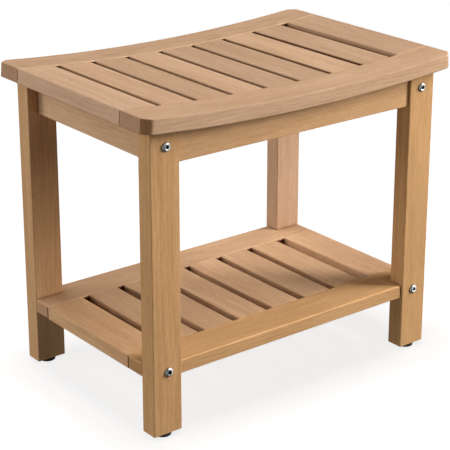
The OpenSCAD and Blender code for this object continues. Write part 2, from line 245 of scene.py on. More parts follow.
def timber_group():
    """Node group that turns a place on a board, and the board's tones, into its surface."""
    group = bpy.data.node_groups.new("timber", "ShaderNodeTree")
    face = group.interface
    for name, kind in (("Position", "Vector"), ("Normal", "Vector"), ("Pith", "Vector"),
                       ("Light", "Color"), ("Dark", "Color"), ("Reach", "Float")):
        face.new_socket(name, in_out="INPUT", socket_type=f"NodeSocket{kind}")
    for name, kind in (("Color", "Color"), ("Roughness", "Float"), ("Height", "Float")):
        face.new_socket(name, in_out="OUTPUT", socket_type=f"NodeSocket{kind}")
    t = Tree(group)
    ins = t.add("NodeGroupInput").outputs
    outs = t.add("NodeGroupOutput").inputs
    position = ins["Position"]

    # fibres in three widths, and the broad cloudiness of sanded and oiled teak
    latewood = growth_rings(t, position, ins["Pith"])
    broad = t.streaks(position, BROAD_GRAIN)
    middle = t.streaks(position, MIDDLE_GRAIN, detail=3.0, roughness=0.6)
    fine = t.streaks(position, FINE_GRAIN)
    cloud = t.streaks(position, CLOUD_GRAIN, detail=3.0)
    depth = t.total(MEAN_DEPTH, t.swing(broad, BROAD_DEPTH), t.swing(middle, MIDDLE_DEPTH),
                    t.swing(fine, FINE_DEPTH), t.times(latewood, LATEWOOD_DEPTH),
                    t.swing(cloud, CLOUD_DEPTH), clamp=True)
    colour = t.blend(depth, ins["Light"], ins["Dark"])

    # pores: short open vessels, denser between the rings' dark lines
    pores = t.remap(t.streaks(position, PORE_GRAIN, detail=1.0), *PORE_THRESHOLD)
    pores = t.times(pores, t.total(1.0, t.times(latewood, LATEWOOD_PORES - 1.0)))
    colour = t.blend(t.times(pores, PORE_DEPTH), colour, PORE_COLOUR)

    # end grain drinks more oil: darker, and speckled across the rings
    facing = t.add("ShaderNodeSeparateXYZ")
    t.wire(ins["Normal"], facing.inputs[0])
    end_grain = t.remap(t.maths("ABSOLUTE", facing.outputs["X"]), *END_GRAIN_FACING)
    speckle = t.streaks(position, SPECKLE_GRAIN)
    end_depth = t.total(END_GRAIN_DEPTH, t.times(latewood, END_GRAIN_RINGS),
                        t.swing(speckle, END_GRAIN_SPECKLE), clamp=True)
    colour = t.blend(t.times(end_grain, end_depth), colour, END_GRAIN_COLOUR)

    # painted shade where boards meet and between the slats, deeper the more nearby surfaces close a
    # place in
    painted_crevice_shade = t.crevice(ins["Reach"], *CREVICE_OPENNESS)
    t.wire(t.tinted(painted_crevice_shade, colour, CREVICE_SHADE_TINT), outs["Color"])

    t.wire(t.total(ROUGHNESS, t.swing(broad, BROAD_ROUGHNESS), t.times(pores, PORE_ROUGHNESS),
                   t.times(end_grain, END_GRAIN_ROUGHNESS), clamp=True), outs["Roughness"])
    t.wire(t.total(t.times(middle, MIDDLE_RELIEF), t.times(fine, FINE_RELIEF),
                   t.times(pores, PORE_RELIEF), t.times(latewood, LATEWOOD_RELIEF)),
           outs["Height"])
    return group


TIMBER = timber_group()

# How near other surfaces must be to paint shade on a board, by its slot.
REACH = {"seat_wood": 16 * MM, "frame_wood": 8 * MM, "shelf_wood": 22 * MM}
HIDDEN_REACH = 6 * MM
OPEN_REACH = 0.2 * MM

# Turns that bring a board's axes into board space, by the direction of its grain.
TO_BOARD = {"X": (0.0, 0.0, 0.0), "Y": (0.0, 0.0, -math.pi / 2), "Z": (0.0, math.pi / 2, 0.0)}


def grain_of(node):
    """X, Y or Z: the direction of a board's grain."""
    if node.startswith("leg"):
        return "Z"
    if node.endswith("rail") or node in ("front_apron", "back_apron", "apron_dowels"):
        return "X"
    return "Y"


def timber(node, light, dark, seed, suffix="", reach=None, dark_below=None, fade=PAINTED_SHADE_FADE):
    """Material of one board, cut from its own place in a log.

    reach is how near other surfaces must be to paint shade on it. Under the height
    dark_below it takes painted shade, over a distance of fade.
    """
    material, t, shader = new_material(f"timber_{node}{suffix}")
    place = t.add("ShaderNodeTexCoord").outputs
    turn = TO_BOARD[grain_of(node)]
    low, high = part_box(node)
    from_middle = t.vector("SUBTRACT", place["Object"], tuple((low + high) / 2))

    draw = random.Random(seed)
    shift = Vector([draw.uniform(-LOG_REACH, LOG_REACH) for _ in range(3)])
    pith_angle = draw.uniform(0, 2 * math.pi)
    pith_distance = draw.uniform(PITH_NEAREST, PITH_FURTHEST)
    pith = shift + Vector((draw.uniform(-PITH_SHIFT, PITH_SHIFT),
                           pith_distance * math.cos(pith_angle),
                           pith_distance * math.sin(pith_angle)))

    group = t.add("ShaderNodeGroup", node_tree=TIMBER)
    reach = reach or REACH.get(SLOT_OF[node], HIDDEN_REACH)
    for name, value in (("Position", t.vector("ADD", t.turned(from_middle, turn), tuple(shift))),
                        ("Normal", t.turned(place["Normal"], turn)), ("Pith", pith),
                        ("Light", (*light, 1.0)), ("Dark", (*dark, 1.0)), ("Reach", reach)):
        t.feed(group.inputs[name], value)
    colour = group.outputs["Color"]
    # painted shade: darker under the height dark_below
    if dark_below is not None:
        height = t.add("ShaderNodeSeparateXYZ")
        t.wire(place["Object"], height.inputs[0])
        painted_shade = t.remap(height.outputs["Z"], dark_below, dark_below - fade)
        colour = t.tinted(painted_shade, colour, PAINTED_SHADE_TINT)
    t.wire(colour, shader.inputs["Base Color"])
    t.wire(group.outputs["Roughness"], shader.inputs["Roughness"])
    t.bump(shader, group.outputs["Height"], RELIEF_STRENGTH, RELIEF_DEPTH)
    shader.inputs["Specular IOR Level"].default_value = SPECULAR
    return material


# ---- other materials ----

# Painted shade in metal recesses: how near surfaces must be, where it starts and is full, its
# colour.
RECESS_REACH = 6 * MM
RECESS_OPENNESS = (0.80, 0.50)
RECESS_SHADE_COLOUR = (0.02, 0.02, 0.022, 1.0)
TARNISHED = 0.72
RUBBER_COLOUR = (0.012, 0.012, 0.013, 1.0)
DUST_COLOUR = (0.045, 0.043, 0.040, 1.0)


def metal(name, colour, roughness):
    """Plated or turned metal with fine tumbling marks, a little tarnish and painted shade in its
    recesses.
    """
    material, t, shader = new_material(name)
    shader.inputs["Metallic"].default_value = 1.0
    place = t.add("ShaderNodeTexCoord").outputs["Object"]
    tarnish = t.noise(place, 420.0, 3.0)
    dull = tuple(TARNISHED * c for c in colour)
    plating = t.blend(t.remap(tarnish, 0.45, 0.75, 0.0, 0.5), (*colour, 1.0), (*dull, 1.0))
    # painted shade in sockets and where a head meets the wood
    recess = t.crevice(RECESS_REACH, *RECESS_OPENNESS)
    t.wire(t.blend(recess, plating, RECESS_SHADE_COLOUR), shader.inputs["Base Color"])
    t.wire(t.total(roughness, t.times(tarnish, 0.16)), shader.inputs["Roughness"])
    marks = t.noise(t.vector("MULTIPLY", place, (1500.0, 1500.0, 4200.0)), 1.0)
    t.bump(shader, marks, strength=0.15, distance=0.02 * MM)
    return material


def rubber():
    """Moulded black rubber, dusty on its faces."""
    material, t, shader = new_material("pad_rubber")
    place = t.add("ShaderNodeTexCoord").outputs["Object"]
    dust = t.noise(place, 180.0, 4.0)
    t.wire(t.blend(t.remap(dust, 0.4, 0.8, 0.0, 0.6), RUBBER_COLOUR, DUST_COLOUR),
           shader.inputs["Base Color"])
    t.wire(t.total(0.55, t.times(dust, 0.25)), shader.inputs["Roughness"])
    t.bump(shader, t.noise(place, 2600.0), strength=0.3, distance=0.05 * MM)
    return material


# ---- mesh helpers ----

def skin(bm, rings):
    """Joins rings of equally many points with quads, and closes both ends."""
    rows = [[bm.verts.new(point) for point in ring] for ring in rings]
    for row, following in zip(rows, rows[1:]):
        for i in range(len(row)):
            j = (i + 1) % len(row)
            bm.faces.new((row[i], row[j], following[j], following[i]))
    bm.faces.new(reversed(rows[0]))
    bm.faces.new(rows[-1])


def new_object(name, bm):
    """Object made of a finished mesh."""
    mesh = bpy.data.meshes.new(name)
    bm.to_mesh(mesh)
    bm.free()
    thing = bpy.data.objects.new(name, mesh)
    bpy.context.scene.collection.objects.link(thing)
    return thing


def solid_object(name, bm):
    """Object made of a finished closed mesh, with its normals turned outward."""
    bmesh.ops.recalc_face_normals(bm, faces=bm.faces)
    return new_object(name, bm)


def carve(bm, tool_bm):
    """Cuts one closed mesh out of another."""
    solid = solid_object("solid", bm)
    tool = solid_object("tool", tool_bm)
    cut = solid.modifiers.new("cut", "BOOLEAN")
    cut.operation = "DIFFERENCE"
    cut.solver = "EXACT"
    cut.object = tool
    bpy.context.view_layer.update()
    shaped = solid.evaluated_get(bpy.context.evaluated_depsgraph_get())
    result = bmesh.new()
    result.from_mesh(shaped.to_mesh())
    for thing in (solid, tool):
        bpy.data.objects.remove(thing)
    return result


def stand_in(node, bm, material, sharp_from=180.0):
    """Piece of a finished mesh that stands for a CAD node and rides on its body.

    Edges that bend more than sharp_from, in degrees, are shaded as sharp.
    """
    piece = solid_object(f"{node}_detail", bm)
    piece.data.shade_smooth()
    piece.data.set_sharp_from_angle(angle=math.radians(sharp_from))
    piece.data.materials.append(material)
    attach(piece, BODY_OF[node])
    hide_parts(node)
    return piece


def paint(piece, material, chosen):
    """Gives another finish to the faces whose middle and normal are chosen."""
    piece.data.materials.append(material)
    index = len(piece.data.materials) - 1
    for face in piece.data.polygons:
        if chosen(face.center, face.normal):
            face.material_index = index


def flatten_shading(piece):
    """Lets the large faces set the normals, so that only the eased edges look round."""
    weights = piece.modifiers.new("flat_faces", "WEIGHTED_NORMAL")
    weights.keep_sharp = True
    weights.weight = 100


# ---- straight boards ----

EDGE_EASE = 0.7 * MM
SHELF_RAIL_EASE = 2.2 * MM
EDGE_SEGMENTS = 3
SAME_POINT = 0.002 * MM
SAME_PLANE = math.radians(0.15)
SHARP_EDGE = math.radians(32)


def straight_board(node, material, ease=EDGE_EASE):
    """Stands for a straight CAD board: its faces merged and every sharp edge rounded."""
    bm = bmesh.new()
    bm.from_mesh(NODES[node].data)
    bmesh.ops.remove_doubles(bm, verts=bm.verts, dist=SAME_POINT)
    bmesh.ops.dissolve_limit(bm, angle_limit=SAME_PLANE, verts=bm.verts, edges=bm.edges,
                             use_dissolve_boundaries=False)
    sharp = [e for e in bm.edges if e.is_manifold and e.calc_face_angle() > SHARP_EDGE]
    bmesh.ops.bevel(bm, geom=sharp, offset=ease, offset_type="OFFSET",
                    segments=EDGE_SEGMENTS, profile=0.5, affect="EDGES", clamp_overlap=False)
    board = stand_in(node, bm, material)
    flatten_shading(board)
    return board


# ---- the seat's bent boards ----

# Its rails and end boards follow one arc, whose centre stands above the stool.
SEAT_TOP = 460 * MM
SEAT_HALF = 270 * MM
SEAT_DIP = 12.5 * MM
SEAT_THICKNESS = 21 * MM
SEAT_RADIUS = (SEAT_HALF ** 2 + SEAT_DIP ** 2) / (2 * SEAT_DIP)
SEAT_CENTRE_Z = SEAT_TOP - SEAT_DIP + SEAT_RADIUS
HALF_ARC = SEAT_RADIUS * math.asin(SEAT_HALF / SEAT_RADIUS)
RAIL_OUT_Y = 180 * MM
RAIL_IN_Y = 123.5 * MM
END_BOARD_WIDTH = 58 * MM
SLAT_WIDTH = 50 * MM
SLATS = [f"seat_slat_{number}" for number in range(1, 8)]

# roundings
OUTER_EASE = 2 * MM
INNER_EASE = 2 * MM
END_EASE = 1.5 * MM
JOINT_EASE = 1 * MM
SMALLEST_EASE = 0.05 * MM
EASE_STEPS = 5

# the rails' cut corners, and the tongues that join the boards
CORNER_CUT = 11 * MM
CORNER_BLEND = 2.5 * MM
RAIL_STEPS = 28
CORNER_STEPS = 22
TONGUE_TOP = 4 * MM
TONGUE_THICKNESS = 8 * MM
TONGUE_LENGTH = 12 * MM
TONGUE_SHOULDER = 5 * MM
MORTISE_GAP = 0.1 * MM
BENT_BOARD_SHARP = 40.0


def on_arc(along, y, depth):
    """Point a given way along the arc from the seat's middle, and below its top face."""
    angle = along / SEAT_RADIUS
    reach = SEAT_RADIUS + depth
    return Vector((reach * math.sin(angle), y, SEAT_CENTRE_Z - reach * math.cos(angle)))


def arc_length(x):
    """Way along the arc from the seat's middle to a place x on its top face."""
    return SEAT_RADIUS * math.asin(x / SEAT_RADIUS)


def eased_section(low, high, top, bottom, ease_low, ease_high, inset=0.0):
    """Outline of a board's section, with one radius at its low side and one at its high side."""
    points = []
    corners = ((low, 1, top, 1, ease_low), (high, -1, top, 1, ease_high),
               (high, -1, bottom, -1, ease_high), (low, 1, bottom, -1, ease_low))
    for quarter, (side, inward, level, within, ease) in enumerate(corners):
        radius = max(ease - inset, SMALLEST_EASE)
        reach = max(ease, inset + SMALLEST_EASE)
        for step in range(EASE_STEPS + 1):
            angle = math.pi / 2 * (quarter + 2 + step / EASE_STEPS)
            points.append((side + inward * reach + radius * math.cos(angle),
                           level + within * reach + radius * math.sin(angle)))
    return points


def rounded_end(length, ease):
    """Stations over a rounded end: distance from the middle, and how far the section draws in."""
    turns = [math.pi / 2 * step / EASE_STEPS for step in range(EASE_STEPS + 1)]
    return [(length - ease + ease * math.sin(turn), ease * (1 - math.cos(turn)))
            for turn in turns]


def mirrored(stations):
    """The same stations on the other side of the middle, in order of place."""
    return [(-place, inset) for place, inset in reversed(stations) if place > 0]


def mortises(side):
    """Mesh of the room that a rail's mortises take."""
    bm = bmesh.new()
    end_middle = arc_length(SEAT_HALF - END_BOARD_WIDTH / 2)
    tongues = [(-end_middle, END_BOARD_WIDTH), (end_middle, END_BOARD_WIDTH)]
    for slat in SLATS:
        low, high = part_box(slat)
        tongues.append((arc_length((low.x + high.x) / 2), SLAT_WIDTH))
    for along, width in tongues:
        half = width / 2 - TONGUE_SHOULDER + MORTISE_GAP
        outline = eased_section(along - half, along + half, TONGUE_TOP - MORTISE_GAP,
                                TONGUE_TOP + TONGUE_THICKNESS + MORTISE_GAP,
                                SMALLEST_EASE, SMALLEST_EASE)
        reaches = (RAIL_IN_Y - TONGUE_SHOULDER, RAIL_IN_Y + TONGUE_LENGTH + MORTISE_GAP)
        skin(bm, [[on_arc(place, side * y, depth) for place, depth in outline]
                  for y in reaches])
    return bm


def seat_rail(node, material, side):
    """Front (side -1) or back (side 1) rail, with its corners cut and its mortises."""
    cut_start = HALF_ARC - 2 * CORNER_CUT
    stations = [(cut_start * step / RAIL_STEPS, 0.0) for step in range(RAIL_STEPS + 1)]
    for step in range(1, CORNER_STEPS):
        within_cut = (HALF_ARC - END_EASE - cut_start) * step / CORNER_STEPS
        stations.append((cut_start + within_cut, 0.0))
    stations += rounded_end(HALF_ARC, END_EASE)
    rings = []
    for along, inset in mirrored(stations) + stations:
        reach = CORNER_CUT - (HALF_ARC - abs(along))
        cut = (reach + math.hypot(reach, CORNER_BLEND)) / 2
        outline = eased_section(RAIL_IN_Y, RAIL_OUT_Y - cut, 0.0, SEAT_THICKNESS,
                                INNER_EASE, OUTER_EASE, inset)
        rings.append([on_arc(along, side * y, depth) for y, depth in outline])
    bm = bmesh.new()
    skin(bm, rings)
    rail = stand_in(node, carve(bm, mortises(side)), material, BENT_BOARD_SHARP)
    flatten_shading(rail)
    return rail


def seat_end_board(node, material, side):
    """Left (side -1) or right (side 1) end board, with a tongue on either end."""
    inner = arc_length(SEAT_HALF - END_BOARD_WIDTH)
    tongue_end = RAIL_IN_Y + TONGUE_LENGTH
    tongue = [(RAIL_IN_Y, 0.0), (tongue_end - JOINT_EASE, 0.0), (tongue_end, JOINT_EASE)]
    board = [(0.0, 0.0)] + rounded_end(RAIL_IN_Y, JOINT_EASE)

    def tongue_ring(y, inset):
        return y, eased_section(inner + TONGUE_SHOULDER, HALF_ARC - TONGUE_SHOULDER, TONGUE_TOP,
                                TONGUE_TOP + TONGUE_THICKNESS, JOINT_EASE, JOINT_EASE, inset)

    def board_ring(y, inset):
        return y, eased_section(inner, HALF_ARC, 0.0, SEAT_THICKNESS, INNER_EASE, END_EASE,
                                inset)

    rings = [tongue_ring(*station) for station in mirrored(tongue)]
    rings += [board_ring(*station) for station in mirrored(board) + board]
    rings += [tongue_ring(*station) for station in tongue]
    bm = bmesh.new()
    skin(bm, [[on_arc(side * along, y, depth) for along, depth in outline]
              for y, outline in rings])
    piece = stand_in(node, bm, material, BENT_BOARD_SHARP)
    flatten_shading(piece)
    return piece


# ---- finishes of the boards ----

# The stool mixes boards of a pale, slightly pink cut and of a golden one.
PALE_LIGHT, PALE_DARK = (0.70, 0.465, 0.315), (0.46, 0.275, 0.16)
GOLD_LIGHT, GOLD_DARK = (0.69, 0.39, 0.15), (0.44, 0.21, 0.065)
GOLD_SHARE = {"seat_wood": 0.16, "frame_wood": 0.3, "shelf_wood": 0.34}
GOLD_BOARDS = {"seat_front_rail": 0.2, "seat_left_end_board": 0.05, "leg_front_left": 0.8,
               "leg_front_right": 0.85, "leg_back_left": 0.65, "leg_back_right": 0.15,
               "front_apron": 0.65, "shelf_front_rail": 0.8, "shelf_left_end_board": 0.5}
VALUE = {"seat_wood": 0.89, "frame_wood": 0.95, "shelf_wood": 0.96}
BRIGHT, DEEP = 1.08, 0.93
BRIGHT_BOARDS = ("seat_slat_1", "seat_slat_3", "seat_slat_6", "seat_left_end_board",
                 "front_apron", "left_end_apron", "shelf_slat_3", "shelf_slat_4",
                 "shelf_left_end_board", "shelf_right_end_board")
DEEP_BOARDS = ("seat_slat_2", "seat_slat_4", "seat_slat_5", "seat_slat_7", "seat_back_rail",
               "seat_right_end_board", "leg_back_right", "shelf_slat_1", "shelf_slat_2",
               "shelf_slat_5")

# Tints: sanded edges, lightened further as a painted highlight; the rails' paler edges, a painted
# highlight; painted shade on their inner faces; and their sawn corners.
EDGE_TINT = (1.14, 1.14, 1.13)
RAIL_EDGE_HIGHLIGHT_TINT = (1.30, 1.30, 1.28)
INNER_SHADE_TINT = (0.20, 0.09, 0.03)
CORNER_TINT = (0.86, 0.72, 0.52)

TONE_SEED = 1000
SHARE_SPREAD = 0.03
VALUE_SPREAD = 0.02

# How far down a slot's walls stay free of painted shade.
SLOT_LIGHT_DEPTH = {"slat": 1 * MM, "end_board": 2.5 * MM}
# How far down a shelf rail's inner face stays free of painted shade, and how far that shade fades
# in.
SHELF_INNER_LIGHT_DEPTH = 1.5 * MM
SHELF_INNER_FADE = 2.5 * MM

# Share of a face's normal along an axis: above FACES it faces that way, above LEANS it leans
# that way. A rounded edge has no share above STRAIGHT.
FACES = 0.95
LEANS = 0.15
STRAIGHT = 0.97
CORNER_SLANT = (0.4, 0.9)
UPRIGHT = 0.3
INWARD, OUTWARD = -1, 1


def inner_side(middle, normal):
    """Upright face of a front or back rail that looks into the seat or shelf."""
    return normal.y * middle.y < 0 and abs(normal.y) > FACES


def upper_edge(facing):
    """Chooses rounded upper edges on a board's side that faces INWARD or OUTWARD along Y."""
    def chosen(middle, normal):
        return facing * normal.y * middle.y > 0 and abs(normal.y) > LEANS and normal.z > LEANS
    return chosen


def cut_corner(middle, normal):
    """Sawn corner of a seat rail."""
    least, most = CORNER_SLANT
    return least < abs(normal.x) < most and abs(normal.z) < UPRIGHT


def slot_side(node):
    """Chooses the sides that face a slot: both sides of a slat, the inner one of an end board."""
    outward = -1 if "left" in node else 1 if "right" in node else 0

    def chosen(middle, normal):
        return abs(normal.x) > FACES and normal.x * outward <= 0
    return chosen


def rounded_edge(middle, normal):
    """Any rounded edge of a straight board."""
    return max(abs(part) for part in normal) < STRAIGHT


def finish_maker(node, seed):
    """Function that makes this board's finishes: its own timber, tinted, or with painted shade lower
    down.
    """
    slot = SLOT_OF[node]
    draw = random.Random(TONE_SEED + seed)
    share = GOLD_BOARDS.get(node, GOLD_SHARE[slot]) + draw.uniform(-SHARE_SPREAD, SHARE_SPREAD)
    value = VALUE[slot] * draw.uniform(1 - VALUE_SPREAD, 1 + VALUE_SPREAD)
    if node in BRIGHT_BOARDS:
        value *= BRIGHT
    if node in DEEP_BOARDS:
        value *= DEEP

    def tone(pale, gold, tint):
        return [value * (p + (g - p) * share) * by for p, g, by in zip(pale, gold, tint)]

    def finish(suffix="", tint=(1.0, 1.0, 1.0), **painted_shading):
        return timber(node, tone(PALE_LIGHT, GOLD_LIGHT, tint), tone(PALE_DARK, GOLD_DARK, tint),
                      seed, suffix, **painted_shading)
    return finish


# ---- boards ----

def darken_slots(board, node, kind, finish):
    """Paints shade on the sides of a seat slat or end board that face a slot, from near their top
    down.
    """
    chosen = slot_side(node)
    top = max(board.data.vertices[index].co.z for face in board.data.polygons
              if chosen(face.center, face.normal) for index in face.vertices)
    # painted shade on the slot walls, below a light band along their top
    paint(board, finish("_slot", dark_below=top - SLOT_LIGHT_DEPTH[kind]), chosen)


def make_board(node, seed):
    """Builds one board and gives its edges a painted highlight and its hidden faces painted shade.
    """
    finish = finish_maker(node, seed)
    part = node.split("_")[0]
    kind = next((kind for kind in ("rail", "slat", "end_board") if kind in node), "frame")
    side = -1 if "front" in node or "left" in node else 1
    if part == "seat" and kind == "rail":
        board = seat_rail(node, finish(), side)
        paint(board, finish("_corner", CORNER_TINT), cut_corner)
        # painted highlight on the inner upper edge, kept clear of painted shade
        paint(board, finish("_edge", RAIL_EDGE_HIGHLIGHT_TINT, reach=OPEN_REACH), upper_edge(INWARD))
        # painted shade on the inner face that looks into the seat
        paint(board, finish("_inner", INNER_SHADE_TINT), inner_side)
    elif part == "seat" and kind == "end_board":
        board = seat_end_board(node, finish(), side)
        darken_slots(board, node, kind, finish)
    elif kind == "rail":
        board = straight_board(node, finish(), SHELF_RAIL_EASE)
        # painted highlight on every rounded edge, kept clear of painted shade
        paint(board, finish("_edge", RAIL_EDGE_HIGHLIGHT_TINT, reach=OPEN_REACH), rounded_edge)
        # painted shade low on the inner face
        light_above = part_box(node)[1].z - SHELF_INNER_LIGHT_DEPTH
        paint(board, finish("_inner", dark_below=light_above, fade=SHELF_INNER_FADE), inner_side)
    else:
        board = straight_board(node, finish())
        # sanded edges, lightened further as a painted highlight
        paint(board, finish("_edge", EDGE_TINT), rounded_edge)
        if part == "seat":
            darken_slots(board, node, kind, finish)
    # painted highlight on the outer upper edge
    if node == "seat_right_end_board":
        paint(board, finish("_edge", RAIL_EDGE_HIGHLIGHT_TINT, reach=OPEN_REACH), upper_edge(OUTWARD))


boards = sorted(n for n in NODES if SLOT_OF[n] in VALUE)
for number, node in enumerate(boards):
    make_board(node, number)


# ---- hardware ----

AROUND = 72
RINGS_PER_TURN = 8
HARDWARE_SHARP = 35.0
PAD_SHARP = 50.0


def ring_at(z, radius):
    """Ring of points round the Z axis; radius is a number, or a function of the angle."""
    points = []
    for i in range(AROUND):
        angle = 2 * math.pi * i / AROUND
        r = radius(angle) if callable(radius) else radius
        points.append(Vector((r * math.cos(angle), r * math.sin(angle), z)))
    return points


def hexagon(across_flats, limit=1.0):
    """Radius of a hexagon at an angle, never more than limit."""
    def radius(angle):
        off = (angle + math.pi / 6) % (math.pi / 3) - math.pi / 6
        return min(across_flats / 2 / math.cos(off), limit)
    return radius


def thread(major, minor, pitch, z):
    """Radius of a right-hand thread at a height, as a function of the angle."""
    def radius(angle):
        """A flat crest at the turn's middle, a flat root at its ends, and slopes between."""
        phase = (z / pitch - angle / (2 * math.pi)) % 1
        ridge = min(max(1.25 - 3 * abs(phase - 0.5), 0.0), 1.0)
        return minor + (major - minor) * ridge
    return radius


def threaded(low, high, major, minor, pitch):
    """Rings of a threaded stretch, low to high."""
    count = round((high - low) / pitch * RINGS_PER_TURN)
    heights = [low + (high - low) * i / count for i in range(count + 1)]
    return [ring_at(z, thread(major, minor, pitch, z)) for z in heights]


BOLT_SHANK_R = 3 * MM
BOLT_MINOR_R = 2.45 * MM
BOLT_PITCH = 1 * MM
BOLT_LENGTH = 45 * MM
BOLT_THREAD_END = 15 * MM
BOLT_CHAMFER = 0.6 * MM
SKIRT_EASE = 0.2 * MM
SKIRT_EASE_RISE = 0.15 * MM
SKIRT_HEIGHT = 0.55 * MM
CROWN_R = 3.5 * MM
CROWN_STEPS = 12
CROWN_FLATNESS = 0.9
SOCKET_FLATS = 5 * MM
SOCKET_DEPTH = 2.2 * MM
SOCKET_RIM_R = 3.2 * MM
SOCKET_CHAMFER = 0.35 * MM
SOCKET_POINT = 0.3 * MM
SOCKET_FLOOR_R = 0.8 * MM


def bolt_rings(head_r, head_height):
    """Bolt along Z with its head's flat side at 0, from the shank's tip to the socket's floor."""
    tip = -BOLT_LENGTH
    rings = [ring_at(tip, BOLT_MINOR_R - BOLT_CHAMFER / 2)]
    rings += threaded(tip + BOLT_CHAMFER, -BOLT_THREAD_END, BOLT_SHANK_R, BOLT_MINOR_R, BOLT_PITCH)
    rings.append(ring_at(-BOLT_THREAD_END + BOLT_CHAMFER, BOLT_SHANK_R))
    rings.append(ring_at(0.0, BOLT_SHANK_R))
    rings.append(ring_at(0.0, head_r - SKIRT_EASE))
    rings.append(ring_at(SKIRT_EASE_RISE, head_r))
    for step in range(CROWN_STEPS + 1):
        turn = math.pi / 2 * step / CROWN_STEPS
        rise = (head_height - SKIRT_HEIGHT) * math.sin(turn) ** CROWN_FLATNESS
        spread = (head_r - CROWN_R) * math.cos(turn) ** CROWN_FLATNESS
        rings.append(ring_at(SKIRT_HEIGHT + rise, CROWN_R + spread))
    rings.append(ring_at(head_height, SOCKET_RIM_R))
    rings.append(ring_at(head_height - SOCKET_CHAMFER, hexagon(SOCKET_FLATS)))
    rings.append(ring_at(head_height - SOCKET_DEPTH, hexagon(SOCKET_FLATS)))
    rings.append(ring_at(head_height - SOCKET_DEPTH - SOCKET_POINT, SOCKET_FLOOR_R))
    return rings


def leg_bolts(node, material):
    """Four bolts: one in each leg's outer face, at one height, each tightened to its own angle."""
    low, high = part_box(node)
    head_r = (high.z - low.z) / 2
    face_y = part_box("leg_back_left")[1].y
    rings = bolt_rings(head_r, high.y - face_y)
    bm = bmesh.new()
    for side_x in (-1, 1):
        for side_y in (-1, 1):
            place = Vector((side_x * (high.x - head_r), side_y * face_y, (low.z + high.z) / 2))
            spin = Matrix.Rotation(0.5 + side_x + 0.7 * side_y + low.z * 9, 4, "Z")
            turn = Matrix.Rotation(-side_y * math.pi / 2, 4, "X")
            matrix = Matrix.Translation(place) @ turn @ spin
            skin(bm, [[matrix @ point for point in ring] for ring in rings])
    stand_in(node, bm, material, HARDWARE_SHARP)


STEM_R = 4 * MM
STEM_MINOR_R = 3.35 * MM
STEM_PITCH = 1.25 * MM
STEM_CHAMFER = 0.6 * MM
NECK_R = 3 * MM
FLANGE_R = 5 * MM
FLANGE_TOP = 3.6 * MM
FLANGE_CHAMFER = 0.3 * MM
COLLAR_BOTTOM = 6.3 * MM
COLLAR_TOP = 9.8 * MM
COLLAR_FLATS = 13 * MM
COLLAR_FACE_R = COLLAR_FLATS / 2 - 0.1 * MM
THREAD_RUNOUT = 0.2 * MM


def foot_middle(node):
    """Foot of a stem's or pad's axis, at height 0."""
    low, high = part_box(node)
    return Vector(((low.x + high.x) / 2, (low.y + high.y) / 2, 0))


def foot_stem(node, material):
    """Threaded stem with its hexagon collar, and the flange that turns in the pad."""
    low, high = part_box(node)
    collar_r = COLLAR_FLATS / 2 / math.cos(math.pi / 6)
    rings = [ring_at(low.z, FLANGE_R - FLANGE_CHAMFER),
             ring_at(low.z + FLANGE_CHAMFER, FLANGE_R),
             ring_at(FLANGE_TOP - FLANGE_CHAMFER, FLANGE_R),
             ring_at(FLANGE_TOP, FLANGE_R - FLANGE_CHAMFER),
             ring_at(FLANGE_TOP, NECK_R),
             ring_at(COLLAR_BOTTOM, NECK_R)]
    for z, reach in ((COLLAR_BOTTOM, COLLAR_FACE_R), (COLLAR_BOTTOM + STEM_CHAMFER, collar_r),
                     (COLLAR_TOP - STEM_CHAMFER, collar_r), (COLLAR_TOP, COLLAR_FACE_R)):
        rings.append(ring_at(z, hexagon(COLLAR_FLATS, reach)))
    rings.append(ring_at(COLLAR_TOP, STEM_MINOR_R))
    rings += threaded(COLLAR_TOP + THREAD_RUNOUT, high.z - STEM_CHAMFER, STEM_R, STEM_MINOR_R,
                      STEM_PITCH)
    rings.append(ring_at(high.z, STEM_MINOR_R - STEM_CHAMFER / 2))
    middle = foot_middle(node)
    bm = bmesh.new()
    skin(bm, [[point + middle for point in ring] for ring in rings])
    stand_in(node, bm, material, HARDWARE_SHARP)


PAD_RIM = 1.2 * MM
PAD_RIM_STEPS = 6
GROOVE_DEPTH = 0.5 * MM
GROOVE_WIDTH = 1.15 * MM
GROOVE_SLOPE = 0.15 * MM
GROOVES = (5 * MM, 8 * MM)
PAD_FLAT_R = 3 * MM
PAD_GAP = 0.05 * MM
MOUTH_CHAMFER = (0.4 * MM, 0.3 * MM)


def foot_pad(node, material):
    """Moulded rubber pad: rounded rim, two grip grooves underneath, and the stem's socket."""
    low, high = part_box(node)
    outer = (high.x - low.x) / 2
    profile = [(PAD_FLAT_R, low.z)]
    for start in GROOVES:
        profile += [(start, low.z), (start + GROOVE_SLOPE, low.z + GROOVE_DEPTH),
                    (start + GROOVE_WIDTH - GROOVE_SLOPE, low.z + GROOVE_DEPTH),
                    (start + GROOVE_WIDTH, low.z)]
    for level, first, last in ((low.z + PAD_RIM, -1, 0), (high.z - PAD_RIM, 0, 1)):
        for step in range(PAD_RIM_STEPS + 1):
            turn = math.pi / 2 * (first + (last - first) * step / PAD_RIM_STEPS)
            profile.append((outer - PAD_RIM + PAD_RIM * math.cos(turn),
                            level + PAD_RIM * math.sin(turn)))
    mouth_out, mouth_down = MOUTH_CHAMFER
    profile += [(NECK_R + mouth_out, high.z), (NECK_R + PAD_GAP, high.z - mouth_down),
                (NECK_R + PAD_GAP, FLANGE_TOP + PAD_GAP), (FLANGE_R + PAD_GAP, FLANGE_TOP + PAD_GAP),
                (FLANGE_R + PAD_GAP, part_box(node.replace("pad", "stem"))[0].z - PAD_GAP)]
    middle = foot_middle(node)
    bm = bmesh.new()
    skin(bm, [[point + middle for point in ring_at(z, r)] for r, z in profile])
    stand_in(node, bm, material, PAD_SHARP)


